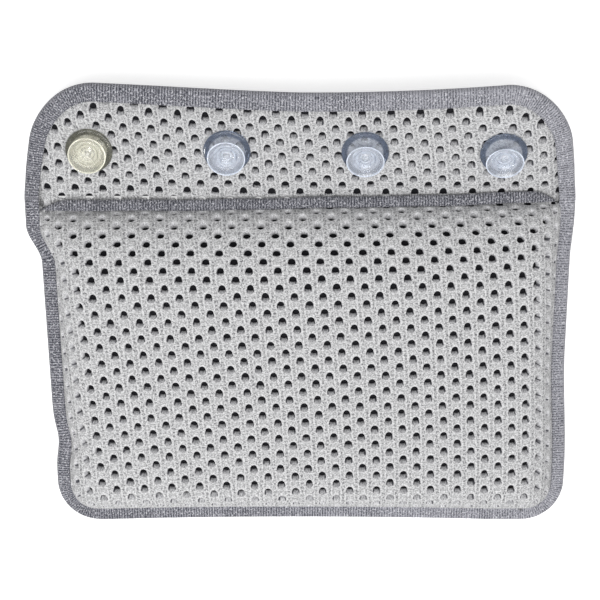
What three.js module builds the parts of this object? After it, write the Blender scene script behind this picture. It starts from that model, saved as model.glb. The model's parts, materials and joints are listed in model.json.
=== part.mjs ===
// Bath pillow of perforated air mesh, bound with knitted tape, with a folding flap that carries suction cups.
// Lengths are in millimetres. The pillow lies on its bather side: +X runs across it, +Y runs from its foot
// to its flap, and +Z points at the tub wall. Places are counted from the fold line, where y and v are zero.

import * as THREE from "three";

// Outline of the pillow, to the outer face of the binding
const WIDTH = 348;
const CUSHION_LENGTH = 220;
const CUSHION_CORNER_RADIUS = 28;
const LEFT_DRAW_IN = 9;
const LEFT_TAPER = 3;
const LEFT_DRAW_START = 17.4;
const LEFT_DRAW_RUN = 24;
const FLAP_LENGTH = 78;
const FLAP_CORNER_RADIUS = 38;
const FLAP_TOP_SAG = 5.5;
const FLAP_DRAW_IN = 9.5;
const FLAP_DRAW_RUN = 72;

// Height of the cushion: its seam, and how far the filling swells out of it
const SEAM_HEIGHT = 17;
const FOLD_END_SWELL = 33;
const FOOT_END_SWELL = 25;
const SIDE_ROLL = 20;
const FOLD_ROLL = 55;
const CROWN_SHARE = 0.12;
const RESTING_FLAT = 0.5;

// Set of the flap: it bends up from the fold, runs straight where the cups clamp it, and levels off above
const FLAP_SLOPE_DEGREES = 21;
const FLAP_LEVELLING_SHARE = 0.6;
const FLAP_TWIST_SHARE = 0.35;
const FLAP_BEND_RUN = 18;
const FLAP_LEVELLING_RUN = 28;
const FOLD_BACK_DEGREES = 15;

// Cloth: air mesh, its edge pressed flat in the seam, the dark lining, and the edge of the bag of filling
const MESH_THICKNESS = 5;
const PRESSED_THICKNESS = 2;
const PRESSED_RAMP = 6;
const FOLD_RAMP = 12;
const LINING_THICKNESS = 1;

// Knitted tape that wraps every edge, and the narrower band of it across the fold
const TAPE_THICKNESS = 1;
const TAPE_WIDTH = 12;
const BAND_WIDTH = 8;

// Perforation of the air mesh: columns of holes, each column half a pitch off the next
const HOLE_DIAMETER = 5.2;
const HOLE_COLUMN_SPACING = 8.85;
const HOLE_ROW_PITCH = 10.6;

// Suction cups: where they sit, their moulded bell and stem, and the washers that clamp the mesh
const FIRST_CUP_INSET = 43.35;
const LAST_CUP_INSET = 48.15;
const CUP_ABOVE_FOLD = 35;
const CUP_TILT_DEGREES = 10;
const CUP_REST_TILT_SHARES = [-0.4, 0, 0.5, 0.5];
const CUP_SEAT_DIAMETER = 6.8;
const CUP_DRAW_RUN = 22;
const STEM_DIAMETER = 4.4;
const STEM_HEAD_DIAMETER = 12;
const STEM_HEAD_HEIGHT = 3;
const STEM_HEAD_BEVEL = 1.6;
const NECK_DIAMETER = 8.8;
const NECK_LENGTH = 1.4;
const BELL_DIAMETER = 24.4;
const BELL_DEPTH = 5.4;
const BELL_WALL = 1.5;
const BELL_FLARE_POWER_SHARE = 1.7;
const LIP_WIDTH = 1;
const NUB_DIAMETER = 3.2;
const NUB_HEIGHT = 1.2;
const WASHER_HOLE_DIAMETER = 8;
const WASHER_ROUND = 0.6;
const FRONT_WASHER_DIAMETER = 29.4;
const FRONT_WASHER_THICKNESS = 1.8;
const BACK_WASHER_DIAMETER = 18;
const BACK_WASHER_THICKNESS = 1.5;

// Clearances between neighbours
const CLEARANCE = 0.3;
const FOLD_GAP = 1.2;
const FOLD_MARGIN = 2.4;

// Stations along each stretch of an outline, and rings between the seam and the middle of the cushion
const DRAW_SHARES = [0, 0.25, 0.5, 0.75, 1];
const LOWER_SIDE_SHARES = [0.2, 0.45, 0.7];
const CORNER_SHARES = [0, 0.25, 0.5, 0.75, 1];
const FLAP_CORNER_SHARES = [0, 0.2, 0.4, 0.6, 0.8, 1];
const FOOT_SHARES = [0.1, 0.2, 0.3, 0.4, 0.5, 0.6, 0.7, 0.8, 0.9];
const INNER_RING_SHARES = [0.04, 0.12, 0.3, 0.6];
const FLAP_SIDE_SHARES = [0, 0.2, 0.4, 0.6, 0.8];
const FLAP_TOP_SHARES = [0.07, 0.15, 0.23, 0.32, 0.41, 0.5, 0.59, 0.68, 0.77, 0.85, 0.93];
const BELL_FLARE_SHARES = [0.35, 0.7];
const PROFILE_STEPS = 40;
const TURNED_SIDES = 18;
const HOLE_SIDES = 6;
const BOW_SHARE = 0.0001;

// Layers of the seam, counted from its middle, and the insets of the layers from the binding's outer face
const bagEdge = LINING_THICKNESS / 2;
const coverInner = bagEdge + CLEARANCE;
const coverOuter = coverInner + PRESSED_THICKNESS;
const clothInset = TAPE_THICKNESS + CLEARANCE;
const seamInset = TAPE_WIDTH + CLEARANCE;
const bandInset = CLEARANCE + BAND_WIDTH + CLEARANCE;
const foldInset = bandInset + TAPE_THICKNESS;

const { clamp, degToRad, lerp, smoothstep } = THREE.MathUtils;
const vector = (x, y) => new THREE.Vector2(x, y);

const material = (color, roughness, extra = {}) =>
  new THREE.MeshStandardMaterial({ color, roughness, metalness: 0, ...extra });
const airMesh = material(0xcfd0d3, 0.9);
const knitTape = material(0x858892, 0.95);
const darkCloth = material(0x2b2c30, 0.95);
const clearVinyl = material(0xc6d3e6, 0.15, { transparent: true, opacity: 0.7 });
const agedVinyl = material(0xd8d6b4, 0.2, { transparent: true, opacity: 0.75 });

// Solids from a plan: a flat triangulation whose top and bottom are placed by functions, with walls between
function geometryOf(places, faces) {
  const geometry = new THREE.BufferGeometry().setFromPoints(places);
  geometry.setIndex(faces.flat());
  geometry.computeVertexNormals();
  return geometry;
}

function openEdges(faces) {
  const edges = new Map();
  for (const face of faces) {
    face.forEach((from, corner) => {
      const to = face[(corner + 1) % face.length];
      if (!edges.delete(`${to} ${from}`)) {
        edges.set(`${from} ${to}`, [from, to]);
      }
    });
  }
  return [...edges.values()];
}

function sheetSolid(plan, top, bottom) {
  const count = plan.points.length;
  const places = [...plan.points.map(top), ...plan.points.map(bottom)];
  const faces = plan.faces.flatMap(([a, b, c]) => [[a, b, c], [c + count, b + count, a + count]]);
  for (const [from, to] of openEdges(plan.faces)) {
    faces.push([from, from + count, to + count], [from, to + count, to]);
  }
  return geometryOf(places, faces);
}

function ringFaces(outer, inner) {
  return outer.flatMap((index, station) => {
    const after = (station + 1) % outer.length;
    return [[index, outer[after], inner[after]], [index, inner[after], inner[station]]];
  });
}

// A length of folded tape: its section is carried past every station of an edge and capped at both ends
function tapeSection(width, below, above) {
  return [
    vector(width, above + TAPE_THICKNESS),
    vector(TAPE_THICKNESS, above + TAPE_THICKNESS),
    vector(0, above),
    vector(0, below),
    vector(TAPE_THICKNESS, below - TAPE_THICKNESS),
    vector(width, below - TAPE_THICKNESS),
    vector(width, below),
    vector(TAPE_THICKNESS, below),
    vector(TAPE_THICKNESS, above),
    vector(width, above),
  ];
}

function sweptTape(stations, section, place) {
  const size = section.length;
  const places = [];
  const faces = [];
  for (let station = 0; station < stations; station += 1) {
    places.push(...section.map((corner) => place(station, corner.x, corner.y)));
    const start = station * size;
    for (let corner = 0; corner < size && station > 0; corner += 1) {
      const a = start - size + corner;
      const b = start - size + (corner + 1) % size;
      faces.push([a, b, b + size], [a, b + size, a + size]);
    }
  }
  const last = (stations - 1) * size;
  for (const [a, b, c] of THREE.ShapeUtils.triangulateShape(section, [])) {
    faces.push([c, b, a], [a + last, b + last, c + last]);
  }
  return geometryOf(places, faces);
}

function turned(profile) {
  return new THREE.LatheGeometry(profile, TURNED_SIDES).rotateX(Math.PI / 2);
}

function arcPoints(x, y, radius, startTurn, shares) {
  return shares.map((share) => {
    const angle = (startTurn + share / 4) * 2 * Math.PI;
    return vector(x + radius * Math.cos(angle), y + radius * Math.sin(angle));
  });
}

function closedRing(edge, shares) {
  return [...edge, ...shares.map((share) => edge.at(-1).clone().lerp(edge[0], share))];
}

// Outline of the cushion, anticlockwise from the left end of the fold; the filling draws its left side in
const drawEnd = LEFT_DRAW_START + LEFT_DRAW_RUN;
const cushionCornerY = CUSHION_CORNER_RADIUS - CUSHION_LENGTH;

function leftSide(y) {
  const drawnIn = LEFT_DRAW_IN * smoothstep(-y, LEFT_DRAW_START, drawEnd);
  const tapered = LEFT_TAPER * clamp((y + drawEnd) / (cushionCornerY + drawEnd), 0, 1);
  return drawnIn + tapered - WIDTH / 2;
}

function cushionEdge(inset, foldEnd) {
  const radius = CUSHION_CORNER_RADIUS - inset;
  const leftX = leftSide(cushionCornerY) + CUSHION_CORNER_RADIUS;
  const rightX = WIDTH / 2 - CUSHION_CORNER_RADIUS;
  const sideY = [
    -foldEnd,
    ...DRAW_SHARES.map((share) => -lerp(LEFT_DRAW_START, drawEnd, share)),
    ...LOWER_SIDE_SHARES.map((share) => lerp(-drawEnd, cushionCornerY, share)),
  ];
  return [
    ...sideY.map((y) => vector(leftSide(y) + inset, y)),
    ...arcPoints(leftX, cushionCornerY, radius, 1 / 2, CORNER_SHARES),
    ...FOOT_SHARES.map((share) => vector(lerp(leftX, rightX, share), inset - CUSHION_LENGTH)),
    ...arcPoints(rightX, cushionCornerY, radius, 3 / 4, CORNER_SHARES),
    ...sideY.toReversed().map((y) => vector(WIDTH / 2 - inset, y)),
  ];
}

const cushionRing = (inset, foldEnd) => closedRing(cushionEdge(inset, foldEnd), FOOT_SHARES);

// Plan of the cushion: outer rings that follow the seam, then rings that draw in to its middle
function cushionPlan(clothRing) {
  const seamRing = cushionRing(seamInset, foldInset);
  const rollRing = cushionRing(seamInset + MESH_THICKNESS, foldInset + MESH_THICKNESS);
  const middle = vector((leftSide(cushionCornerY) + WIDTH / 2) / 2, -CUSHION_LENGTH / 2);
  const drawn = (share) => rollRing.map((point) => point.clone().lerp(middle, share));
  const rings = [clothRing, seamRing, rollRing, ...INNER_RING_SHARES.map(drawn)];
  const indices = rings.map((ring, order) => ring.map((_, station) => order * ring.length + station));
  const points = [...rings.flat(), middle];
  const innermost = indices.at(-1);
  const hub = innermost.map((index, station) => {
    const after = innermost[(station + 1) % innermost.length];
    return [index, after, points.length - 1];
  });
  const faces = indices.slice(1).flatMap((inner, order) => ringFaces(indices[order], inner));
  return { points, faces: [...faces, ...hub] };
}

// Swell of the filling: nothing at the seam, rolling up steeply from it, and full over the middle
function insetWithin(across, along, cornerRadius) {
  if (Math.max(across, along) < cornerRadius) {
    return cornerRadius - Math.hypot(cornerRadius - across, cornerRadius - along);
  }
  return Math.min(across, along);
}

function roll(distance, run) {
  return Math.sqrt(1 - (1 - clamp(distance / run, 0, 1)) ** 2);
}

function swell(point, depth) {
  const across = Math.min(point.x - leftSide(point.y), WIDTH / 2 - point.x);
  const fromSeam = insetWithin(across, point.y + CUSHION_LENGTH, CUSHION_CORNER_RADIUS) - seamInset - depth;
  const fromFold = -point.y - foldInset - depth;
  return roll(fromSeam, SIDE_ROLL - depth) * roll(fromFold, FOLD_ROLL - depth);
}

function tubHeight(point, depth, seamLevel) {
  const crown = 1 - CROWN_SHARE * (point.x / (WIDTH / 2)) ** 2;
  const full = crown * lerp(FOLD_END_SWELL, FOOT_END_SWELL, -point.y / CUSHION_LENGTH);
  return SEAM_HEIGHT + seamLevel + swell(point, depth) * (full - depth - seamLevel);
}

function batherHeight(point, depth, seamLevel) {
  const level = SEAM_HEIGHT - seamLevel;
  return Math.max(depth, level - swell(point, depth) * (level - depth + RESTING_FLAT));
}

const raised = (height) => (point) => new THREE.Vector3(point.x, point.y, height(point));

// Set of the flap: u runs along the fold, v up the cloth from the fold, and w out of its tub side
const straightStart = CUP_ABOVE_FOLD - FRONT_WASHER_DIAMETER / 2;
const straightEnd = CUP_ABOVE_FOLD + FRONT_WASHER_DIAMETER / 2;

function flapSlope(v) {
  const bentUp = smoothstep(v, straightStart - FLAP_BEND_RUN, straightStart);
  const levelled = FLAP_LEVELLING_SHARE * smoothstep(v, straightEnd, straightEnd + FLAP_LEVELLING_RUN);
  return degToRad(FLAP_SLOPE_DEGREES) * (bentUp - levelled);
}

function flapProfile(v) {
  const step = v / PROFILE_STEPS;
  const place = vector(0, 0);
  for (let count = 0; count < PROFILE_STEPS; count += 1) {
    const slope = flapSlope((count + 1 / 2) * step);
    place.add(vector(Math.cos(slope), Math.sin(slope)).multiplyScalar(step));
  }
  return place;
}

function flapFrame(point) {
  const profile = flapProfile(point.y);
  const slope = flapSlope(point.y);
  const twist = FLAP_TWIST_SHARE / (WIDTH / 2);
  const rise = 1 + twist * point.x;
  const across = new THREE.Vector3(1, 0, profile.y * twist).normalize();
  const upCloth = new THREE.Vector3(0, Math.cos(slope), Math.sin(slope) * rise).normalize();
  const normal = across.clone().cross(upCloth).normalize();
  const origin = new THREE.Vector3(point.x, profile.x, SEAM_HEIGHT - coverOuter + profile.y * rise);
  return { origin, across, normal };
}

function onFlap(point, w) {
  const depth = Math.max(0, PRESSED_THICKNESS - w);
  const foldBevel = CLEARANCE / 2 + depth * Math.tan(degToRad(FOLD_BACK_DEGREES));
  const { origin, normal } = flapFrame(vector(point.x, Math.max(point.y, foldBevel)));
  return origin.addScaledVector(normal, w);
}

// Outline of the flap, anticlockwise from the right end of the fold. Its sides draw in towards the top,
// and its top edge sags between the corners.
const flapCornerU = WIDTH / 2 - FLAP_CORNER_RADIUS;
const flapCornerV = FLAP_LENGTH - FLAP_CORNER_RADIUS;

function flapTop(u) {
  return FLAP_LENGTH - FLAP_TOP_SAG * Math.max(0, 1 - (u / flapCornerU) ** 2);
}

function flapDrawIn(v) {
  return FLAP_DRAW_IN * smoothstep(v, 0, FLAP_DRAW_RUN);
}

function flapEdge(inset, foldEnd) {
  const radius = FLAP_CORNER_RADIUS - inset;
  const sideV = FLAP_SIDE_SHARES.map((share) => lerp(foldEnd, flapCornerV, share));
  const topU = FLAP_TOP_SHARES.map((share) => lerp(flapCornerU, -flapCornerU, share));
  return [
    ...sideV.map((v) => vector(WIDTH / 2 - inset, v)),
    ...arcPoints(flapCornerU, flapCornerV, radius, 0, FLAP_CORNER_SHARES),
    ...topU.map((u) => vector(u, flapTop(u) - inset)),
    ...arcPoints(-flapCornerU, flapCornerV, radius, 1 / 4, FLAP_CORNER_SHARES),
    ...sideV.toReversed().map((v) => vector(inset - WIDTH / 2, v)),
  ].map(({ x, y }) => vector(x - flapDrawIn(y) * clamp(x / flapCornerU, -1, 1), y));
}

const flapRing = (inset, foldEnd) => closedRing(flapEdge(inset, foldEnd), FLAP_TOP_SHARES);

function flapEdgeInset(point) {
  const drawIn = flapDrawIn(point.y);
  const across = point.x + drawIn * clamp(point.x / (flapCornerU - drawIn), -1, 1);
  return insetWithin(WIDTH / 2 - Math.abs(across), flapTop(across) - point.y, FLAP_CORNER_RADIUS);
}

function meshThickness(point) {
  const fromEdge = smoothstep(flapEdgeInset(point) - seamInset, 0, PRESSED_RAMP);
  const fromFold = smoothstep(point.y, 0, FOLD_RAMP);
  return lerp(PRESSED_THICKNESS, MESH_THICKNESS, fromEdge * fromFold);
}

// Perforation of the flap: six-sided cells, a hole in each, that keep clear of the tape and the fold.
// A place in the lattice counts thirds of the column spacing and halves of the row pitch.
const CELL_CORNERS = [[2, 0], [1, 1], [-1, 1], [-2, 0], [-1, -1], [1, -1]];

function latticePoint([third, half]) {
  return vector((third / 3) * HOLE_COLUMN_SPACING, (half / 2) * HOLE_ROW_PITCH);
}

function cellCorners([third, half]) {
  return CELL_CORNERS.map(([across, up]) => latticePoint([third + across, half + up]));
}

function latticeSites() {
  const columns = Math.ceil(WIDTH / 2 / HOLE_COLUMN_SPACING);
  const halfRows = Math.ceil((2 * FLAP_LENGTH) / HOLE_ROW_PITCH);
  const inCloth = (corner) => flapEdgeInset(corner) > seamInset + CLEARANCE && corner.y > FOLD_MARGIN;
  const sites = [];
  for (let column = -columns; column <= columns; column += 1) {
    for (let half = Math.abs(column) % 2; half <= halfRows; half += 2) {
      if (cellCorners([3 * column, half]).every(inCloth)) {
        sites.push([3 * column, half]);
      }
    }
  }
  return sites;
}

// Places of the cups: each stem stretches the hole nearest to it and draws the mesh round that hole
const sites = latticeSites();
const firstCup = vector(FIRST_CUP_INSET - WIDTH / 2, CUP_ABOVE_FOLD);
const lastCup = vector(WIDTH / 2 - LAST_CUP_INSET, CUP_ABOVE_FOLD);
const cupPlaces = CUP_REST_TILT_SHARES.map((_, index, cups) =>
  firstCup.clone().lerp(lastCup, index / (cups.length - 1)));
const cupSites = cupPlaces.map((place) => {
  const distance = (site) => latticePoint(site).distanceTo(place);
  return sites.reduce((best, site) => (distance(site) < distance(best) ? site : best));
});

function drawnToCups(point) {
  const moved = point.clone();
  cupSites.map(latticePoint).forEach((site, index) => {
    const pull = 1 - smoothstep(point.distanceTo(site), 0, CUP_DRAW_RUN);
    moved.addScaledVector(cupPlaces[index].clone().sub(site), pull);
  });
  return moved;
}

function holeRim(site, diameter) {
  const middle = drawnToCups(latticePoint(site));
  return Array.from({ length: HOLE_SIDES }, (_, side) => {
    const angle = ((side + 1 / 2) / HOLE_SIDES) * 2 * Math.PI;
    return vector(Math.cos(angle), Math.sin(angle)).multiplyScalar(diameter / 2).add(middle);
  });
}

// Straight stretches are bowed a little towards the filling while it is made, so that no station along them is
// passed over and no triangle has all its corners on one stretch
function bowed(point, bow) {
  const across = point.x / WIDTH;
  const along = (point.y - FLAP_LENGTH / 2) / WIDTH;
  return vector(across * (1 + bow * along ** 2), along * (1 + bow * across ** 2));
}

// Plan of the flap: a cell round each hole, then the plain margin out to the edge of the cloth
function flapPlan(plainHoleDiameter) {
  const points = [];
  const faces = [];
  const indexOf = new Map();
  const keep = (point) => {
    const key = `${point.x} ${point.y}`;
    if (!indexOf.has(key)) {
      indexOf.set(key, points.push(point) - 1);
    }
    return indexOf.get(key);
  };
  const fill = (contour, holes) => {
    const kept = [...contour, ...holes.flat()].map(keep);
    const bowedContour = contour.map((point) => bowed(point, BOW_SHARE));
    const bowedHoles = holes.map((hole) => hole.map((point) => bowed(point, -BOW_SHARE)));
    for (const face of THREE.ShapeUtils.triangulateShape(bowedContour, bowedHoles)) {
      faces.push(face.map((corner) => kept[corner]));
    }
  };
  for (const site of sites) {
    const diameter = cupSites.includes(site) ? CUP_SEAT_DIAMETER : plainHoleDiameter;
    const corners = cellCorners(site).map(drawnToCups);
    if (diameter > 0) {
      fill(corners, [holeRim(site, diameter)]);
    } else {
      const [right, a, b, left, c, d] = corners.map(keep);
      faces.push([right, a, b], [right, b, left], [left, c, d], [left, d, right]);
    }
  }
  const inner = flapRing(seamInset, FOLD_GAP);
  fill(inner, [latticeBorder(points, faces)]);
  faces.push(...ringFaces(flapRing(clothInset, 0).map(keep), inner.map(keep)));
  return { points, faces };
}

function latticeBorder(points, faces) {
  const next = new Map(openEdges(faces));
  const order = (a, b) => points[a].y - points[b].y || points[a].x - points[b].x;
  const [lowest] = [...next.keys()].sort(order);
  const border = [lowest];
  while (next.get(border.at(-1)) !== lowest) {
    border.push(next.get(border.at(-1)));
  }
  return border.map((index) => points[index]);
}

// Suction cup, along its own axis: w is zero at the back of the mesh, and the stem tilts about mid-mesh
const frontSeat = MESH_THICKNESS + CLEARANCE;
const backSeat = -(LINING_THICKNESS + 2 * CLEARANCE);
const headSeat = backSeat - BACK_WASHER_THICKNESS - CLEARANCE;
const tiltDrop = (NECK_DIAMETER / 2) * Math.sin(degToRad(CUP_TILT_DEGREES));
const neckStart = frontSeat + FRONT_WASHER_THICKNESS + CLEARANCE + tiltDrop;
const tiltCentre = MESH_THICKNESS / 2;

function bellProfile() {
  const bellStart = neckStart + NECK_LENGTH;
  const lip = bellStart + BELL_DEPTH;
  const inside = BELL_DIAMETER / 2 - LIP_WIDTH;
  const hollowFloor = bellStart + BELL_WALL;
  const flare = (share, from, to) => lerp(from, to, share ** BELL_FLARE_POWER_SHARE);
  return [
    vector(0, headSeat - STEM_HEAD_HEIGHT),
    vector(STEM_HEAD_DIAMETER / 2, headSeat - STEM_HEAD_HEIGHT),
    vector(STEM_HEAD_DIAMETER / 2, headSeat - STEM_HEAD_BEVEL),
    vector(STEM_DIAMETER / 2, headSeat),
    vector(STEM_DIAMETER / 2, neckStart),
    vector(NECK_DIAMETER / 2, neckStart),
    vector(NECK_DIAMETER / 2, bellStart),
    ...BELL_FLARE_SHARES.map((share) =>
      vector(lerp(NECK_DIAMETER / 2, BELL_DIAMETER / 2, share), flare(share, bellStart, lip))),
    vector(BELL_DIAMETER / 2, lip),
    vector(inside, lip),
    ...BELL_FLARE_SHARES.toReversed().map((share) =>
      vector(lerp(NUB_DIAMETER / 2, inside, share), flare(share, hollowFloor, lip))),
    vector(NUB_DIAMETER / 2, hollowFloor),
    vector(NUB_DIAMETER / 2, hollowFloor + NUB_HEIGHT),
    vector(0, hollowFloor + NUB_HEIGHT),
  ];
}

function washer(diameter, thickness, seat, roundedSide) {
  const flat = seat - roundedSide * thickness;
  const hole = WASHER_HOLE_DIAMETER / 2;
  const profile = [
    vector(hole, flat),
    vector(diameter / 2, flat),
    vector(diameter / 2, seat - roundedSide * WASHER_ROUND),
    vector(diameter / 2 - WASHER_ROUND, seat),
    vector(hole, seat),
    vector(hole, flat),
  ];
  return turned(roundedSide > 0 ? profile : profile.toReversed());
}

// The assembly, one named mesh for each piece
function piece(name, geometry, finish) {
  const mesh = new THREE.Mesh(geometry, finish);
  mesh.name = name;
  return mesh;
}

const cushion = new THREE.Group();
const coverEdge = cushionRing(clothInset, CLEARANCE + clothInset);
cushion.add(
  piece(
    "tub_side_cover",
    sheetSolid(
      cushionPlan(coverEdge),
      raised((point) => tubHeight(point, 0, coverOuter)),
      raised((point) => tubHeight(point, MESH_THICKNESS, coverInner)),
    ),
    airMesh,
  ),
  piece(
    "bather_side_cover",
    sheetSolid(
      cushionPlan(cushionRing(clothInset, CLEARANCE / 2)),
      raised((point) => batherHeight(point, MESH_THICKNESS, coverInner)),
      raised((point) => batherHeight(point, 0, coverOuter)),
    ),
    airMesh,
  ),
  piece(
    "bag_of_filling",
    sheetSolid(
      cushionPlan(cushionRing(clothInset, bandInset)),
      raised((point) => tubHeight(point, MESH_THICKNESS, coverInner) - CLEARANCE),
      raised((point) => batherHeight(point, MESH_THICKNESS, coverInner) + CLEARANCE),
    ),
    darkCloth,
  ),
  piece(
    "cushion_binding",
    sweptTape(
      cushionEdge(0, FOLD_GAP).length,
      tapeSection(TAPE_WIDTH, -coverOuter - CLEARANCE, coverOuter + CLEARANCE),
      (station, inset, height) => {
        const place = cushionEdge(inset, FOLD_GAP)[station];
        return new THREE.Vector3(place.x, place.y, SEAM_HEIGHT + height);
      },
    ),
    knitTape,
  ),
  piece(
    "fold_band",
    sweptTape(
      2,
      tapeSection(BAND_WIDTH, bagEdge, coverOuter + CLEARANCE),
      (station, inset, height) => {
        const x = (WIDTH / 2 - seamInset) * (station === 0 ? 1 : -1);
        return new THREE.Vector3(x, -CLEARANCE - inset, SEAM_HEIGHT + height);
      },
    ),
    knitTape,
  ),
);

const flap = new THREE.Group();
flap.add(
  piece(
    "flap_mesh",
    sheetSolid(
      flapPlan(HOLE_DIAMETER),
      (point) => onFlap(point, meshThickness(point)),
      (point) => onFlap(point, 0),
    ),
    airMesh,
  ),
  piece(
    "flap_lining",
    sheetSolid(
      flapPlan(0),
      (point) => onFlap(point, -CLEARANCE),
      (point) => onFlap(point, -CLEARANCE - LINING_THICKNESS),
    ),
    darkCloth,
  ),
  piece(
    "flap_binding",
    sweptTape(
      flapEdge(0, FOLD_GAP).length,
      tapeSection(TAPE_WIDTH, backSeat, PRESSED_THICKNESS + CLEARANCE),
      (station, inset, height) => onFlap(flapEdge(inset, FOLD_GAP)[station], height),
    ),
    knitTape,
  ),
);

function suctionCup(place, index) {
  const vinyl = index === 0 ? agedVinyl : clearVinyl;
  const name = `cup_${index + 1}`;
  const { origin, across, normal } = flapFrame(place);
  const bell = piece(`${name}_bell`, turned(bellProfile()).translate(0, 0, -tiltCentre), vinyl);
  bell.position.z = tiltCentre;
  bell.rotation.x = degToRad(CUP_TILT_DEGREES * CUP_REST_TILT_SHARES[index]);
  const cup = new THREE.Group();
  const frontFace = frontSeat + FRONT_WASHER_THICKNESS;
  const backFace = backSeat - BACK_WASHER_THICKNESS;
  cup.add(
    bell,
    piece(`${name}_front_washer`, washer(FRONT_WASHER_DIAMETER, FRONT_WASHER_THICKNESS, frontFace, 1), vinyl),
    piece(`${name}_back_washer`, washer(BACK_WASHER_DIAMETER, BACK_WASHER_THICKNESS, backFace, -1), vinyl),
  );
  const basis = new THREE.Matrix4().makeBasis(across, normal.clone().cross(across), normal);
  cup.applyMatrix4(basis.setPosition(origin));
  return cup;
}

// The pillow stands on its origin, at the middle of the space that it takes up
const pillow = new THREE.Group();
pillow.add(cushion, flap, ...cupPlaces.map(suctionCup));
const space = new THREE.Box3().setFromObject(pillow);
const footprint = space.getCenter(new THREE.Vector3());
pillow.position.set(-footprint.x, -footprint.y, -space.min.z);
pillow.name = "bath_pillow";

export default pillow;
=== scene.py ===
import json
import math
from functools import partial

import bpy
import numpy as np
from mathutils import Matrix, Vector
from mathutils.bvhtree import BVHTree


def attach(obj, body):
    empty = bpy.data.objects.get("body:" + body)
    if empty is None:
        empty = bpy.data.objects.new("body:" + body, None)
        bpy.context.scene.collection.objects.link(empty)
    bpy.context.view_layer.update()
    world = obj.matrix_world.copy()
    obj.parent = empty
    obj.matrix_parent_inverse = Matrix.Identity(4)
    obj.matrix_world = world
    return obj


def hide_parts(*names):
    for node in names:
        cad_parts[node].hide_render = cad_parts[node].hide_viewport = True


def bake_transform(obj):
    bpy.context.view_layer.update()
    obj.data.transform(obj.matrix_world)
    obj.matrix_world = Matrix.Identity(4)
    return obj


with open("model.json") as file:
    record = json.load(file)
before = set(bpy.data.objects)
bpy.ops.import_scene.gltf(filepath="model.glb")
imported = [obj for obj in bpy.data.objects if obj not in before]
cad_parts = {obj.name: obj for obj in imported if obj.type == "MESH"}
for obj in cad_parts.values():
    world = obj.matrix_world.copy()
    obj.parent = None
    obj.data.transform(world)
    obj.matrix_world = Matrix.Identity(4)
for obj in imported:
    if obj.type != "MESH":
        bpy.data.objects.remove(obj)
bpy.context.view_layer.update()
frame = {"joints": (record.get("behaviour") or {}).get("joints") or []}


# Bag of filling: plain dark cloth, stuffed with loose polyester fibre and closed flat at its edge, which is
# sewn into the seam between the two covers. Its filling swells it, and both covers take their shape from it.

joints = {joint["name"]: joint for joint in frame["joints"]}
fold_y = joints["flap_fold"]["pos_m"][1]

half_width = 174
cushion_length = 220
cushion_corner = 28
corner_y = cushion_corner - cushion_length
seam_height = 17
side_seam = 9.3
foot_seam = 10.5
fold_seam = 9.6
side_roll = 20
fold_roll = 55
fold_swell = 33
foot_swell = 25
spacer_thickness = 5
pressed_thickness = 2
seam_reach = 2.8
bag_grid = 5
filling_pressure = 4
most_swelling = 4
cloth_steps = 20
edge_inset = 1.5
bag_level = 0.8
bag_clearance = 0.4
map_from_x, map_from_y, map_step = -180, -222, 6


def smooth(share):
    share = np.clip(share, 0, 1)
    return share * share * (3 - 2 * share)


def hump(distance, width):
    return np.exp(-((distance / width) ** 2))


def running_sum(steps):
    return np.concatenate([[0], np.cumsum(steps)])


def left_side(y):
    """The left side, which the filling draws in under the fold and pinches near the foot"""
    drawn = 9 * smooth((-y - 17.4) / 24) + 3 * np.clip((-y - 41.4) / 150.6, 0, 1)
    return drawn + 2.5 * hump(y + 162, 12) - half_width


def right_side(y):
    return half_width - 1.6 * smooth((-y - 10) / 30) + 3.8 * smooth((-y - 100) / 80)


left_middle = left_side(corner_y) + cushion_corner
right_middle = right_side(corner_y) - cushion_corner


def foot_arch(x):
    """The foot is drawn in a little in its middle"""
    return 1.8 * np.maximum(0, 1 - (x / (half_width - cushion_corner - 20)) ** 2)


def fold_drift(x):
    """The fold was sewn a little askew, so its seam drifts towards the flap on the right"""
    return 3.9 + 0.0185 * x


band_left = -165
band_right = 162
band_width = 6.8


def band_lower_edge(x):
    """The band over the fold seam runs almost straight, and sags a little in the middle"""
    return fold_drift(x) - 8.2 - 1.6 * (1 - (x / half_width) ** 2)


def band_share(x):
    """Share of the band's full width: both its ends taper down to its lower edge"""
    from_end = np.minimum((x - band_left) / 20, (band_right - x) / 15)
    return 0.03 + 0.97 * np.sin(np.clip(from_end, 0, 1) * math.pi / 2)


def corner_inset(across, along, corner):
    """Inset from a round corner, from the insets from its two sides"""
    round_corner = corner - np.hypot(corner - across, corner - along)
    return np.where(np.maximum(across, along) < corner, round_corner, np.minimum(across, along))


def side_inset(x, y):
    return np.minimum(x - left_side(y), right_side(y) - x)


def inset_from_edge(x, y):
    return corner_inset(side_inset(x, y), y + cushion_length - foot_arch(x), cushion_corner)


def seam_inset(x, y):
    """How far in from the outline the seam lies: further along the foot than along the sides"""
    along_side = smooth((y + cushion_length - side_inset(x, y)) / 40 + 0.5)
    return foot_seam + (side_seam - foot_seam) * along_side


def onto_corner(x, y, middle_x, middle_y, radius, past):
    """Points past the middle of a round corner and beyond its radius, moved onto it"""
    reach = np.maximum(np.hypot(x - middle_x, y - middle_y), 1e-6)
    beyond = past & (reach > radius)
    share = radius / reach
    x = np.where(beyond, middle_x + (x - middle_x) * share, x)
    return x, np.where(beyond, middle_y + (y - middle_y) * share, y)


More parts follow.
